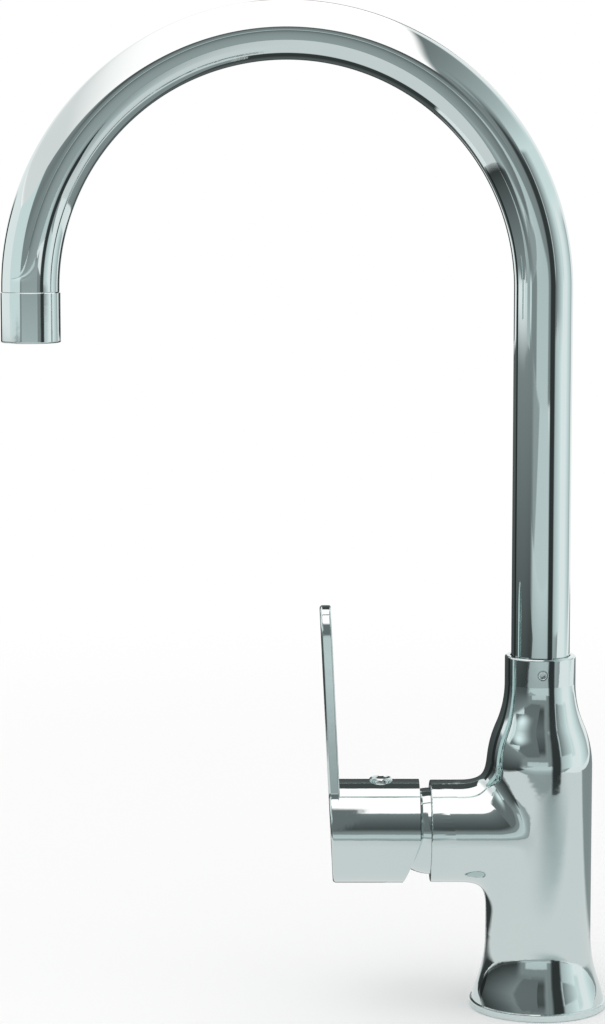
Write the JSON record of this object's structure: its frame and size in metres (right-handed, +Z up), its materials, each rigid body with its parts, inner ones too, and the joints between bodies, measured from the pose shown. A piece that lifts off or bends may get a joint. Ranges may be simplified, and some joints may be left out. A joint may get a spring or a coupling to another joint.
{
  "type": "mixer tap",
  "caption": "Chrome single-lever sink mixer tap with a flared turned body, a swivelling swan-neck spout with aerator, and a side arm with an upright blade lever.",
  "frame": {"origin": "centre of the foot's underside, on the axis of the column and of the spout's swivel", "axes": "+Z up along the column; -X along the arm towards the lever and, in the stored pose, towards the spout's outlet; +Y to the side, away from the collar's screw"},
  "size_m": [0.2481, 0.0564, 0.4124],
  "materials": {
    "cast_chrome": "polished",
    "tube_chrome": "polished",
    "brass": "satin",
    "steel": "satin",
    "seal_rubber": "matte",
    "white_plastic": "satin",
    "grey_plastic": "satin",
    "ceramic": "polished"
  },
  "bodies": {
    "body": {"mixer_body": "cast_chrome", "base_seal": "seal_rubber", "collar_screw": "steel", "cartridge_base": "white_plastic", "port_seals": "seal_rubber", "fixed_disc": "ceramic", "cartridge_housing": "white_plastic", "cartridge_nut": "brass", "dome_cover": "cast_chrome"},
    "rotor": {"cartridge_rotor": "grey_plastic", "stem_pin": "steel"},
    "disc": {"disc_carrier": "grey_plastic", "moving_disc": "ceramic"},
    "lever": {"lever_handle": "cast_chrome", "lever_stem": "brass", "lever_screw": "steel", "lever_plug": "cast_chrome"},
    "spout": {"spout_tube": "tube_chrome", "spout_tail": "brass", "glide_rings": "white_plastic", "spout_o_rings": "seal_rubber", "spout_nose": "brass", "aerator_shell": "cast_chrome", "aerator_washer": "seal_rubber", "aerator_core": "grey_plastic", "aerator_screen": "steel"}
  },
  "joints": [
    {"name": "spout_swivel", "type": "hinge", "parent": "body", "child": "spout", "pos_m": [0, 0, 0.147], "axis": [0, 0, 1], "continuous": true},
    {"name": "lever_turn", "type": "hinge", "parent": "body", "child": "rotor", "pos_m": [-0.045, 0, 0.0735], "axis": [1, 0, 0], "range_deg": [-45, 45]},
    {"name": "lever_tilt", "type": "hinge", "parent": "rotor", "child": "lever", "pos_m": [-0.045, 0, 0.0735], "axis": [0, -1, 0], "range_deg": [0, 25]},
    {"name": "disc_slide", "type": "slide", "parent": "rotor", "child": "disc", "axis": [0, 0, 1], "range_m": [0, 0.00694]}
  ],
  "couplings": [
    {"joint": "disc_slide", "follows": "lever_tilt", "m_per_rad": 0.015884}
  ]
}
